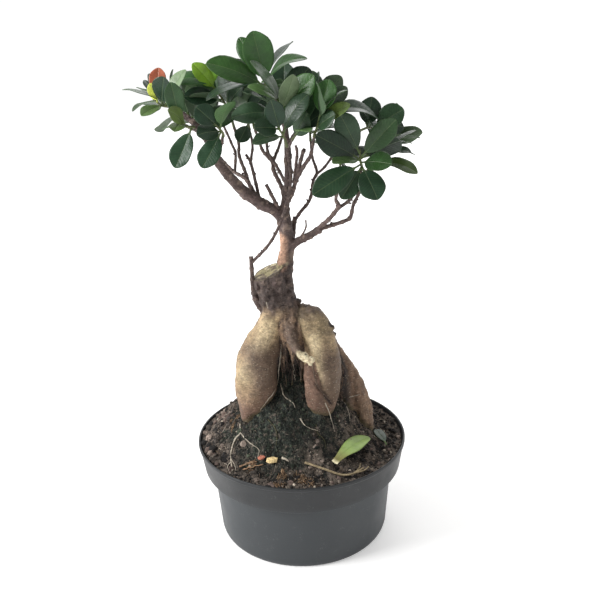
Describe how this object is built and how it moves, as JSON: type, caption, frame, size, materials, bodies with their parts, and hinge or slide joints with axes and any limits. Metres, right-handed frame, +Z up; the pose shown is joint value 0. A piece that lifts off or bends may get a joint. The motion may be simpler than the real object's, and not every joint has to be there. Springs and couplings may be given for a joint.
{
  "type": "potted ficus ginseng bonsai",
  "caption": "Small fig tree with swollen bare roots, a cut stump, branching twigs and sprays of glossy dark leaves, in soil in a round stepped plastic nursery pot.",
  "frame": {"origin": "middle of the underside of the pot's flat base", "axes": "+Z up; -Y is the front, the side seen in the picture; +X to the right in that view"},
  "size_m": [0.2198, 0.1775, 0.3921],
  "materials": {
    "pot": "thin dark grey nursery-pot plastic, satin, with faint scuffs",
    "soil": "loose dark potting soil with bark crumbs and dark moss; wood stands in for peat and bark",
    "wood": "living fig bark: tan and pink-brown swollen roots, dark rough neck, purple-brown branches",
    "leaves": "glossy dark green leaves on green shoots; wood stands in for living leaf",
    "fallen_leaf": "light green fallen leaf with a browning base",
    "withered_leaf": "dull grey-green old leaf",
    "dry_wood": "pale dry twig",
    "pale_bark": "cream and yellow bark chip",
    "red_bark": "reddish bark chip"
  },
  "bodies": {
    "root": {"pot": "pot", "soil": "soil", "roots_and_branches": "wood", "spray_far_left": "leaves", "spray_left_hang": "leaves", "spray_left_low": "leaves", "spray_top_left": "leaves", "spray_top": "leaves", "spray_hub": "leaves", "spray_low_hub": "leaves", "spray_cross": "leaves", "spray_inner_left": "leaves", "spray_front_right": "leaves", "spray_right_hub": "leaves", "spray_right_up": "leaves", "spray_right_top": "leaves", "spray_right_out": "leaves", "spray_far_left_back": "leaves", "spray_back_left_a": "leaves", "spray_back_left_b": "leaves", "spray_back_far": "leaves", "spray_back_high": "leaves", "spray_back_right": "leaves", "spray_right_back": "leaves", "spray_long_left": "leaves", "spray_long_left_b": "leaves", "fallen_leaf": "fallen_leaf", "withered_leaf": "withered_leaf", "fallen_twig": "dry_wood", "pale_chip": "pale_bark", "red_chip": "red_bark"}
  },
  "joints": []
}
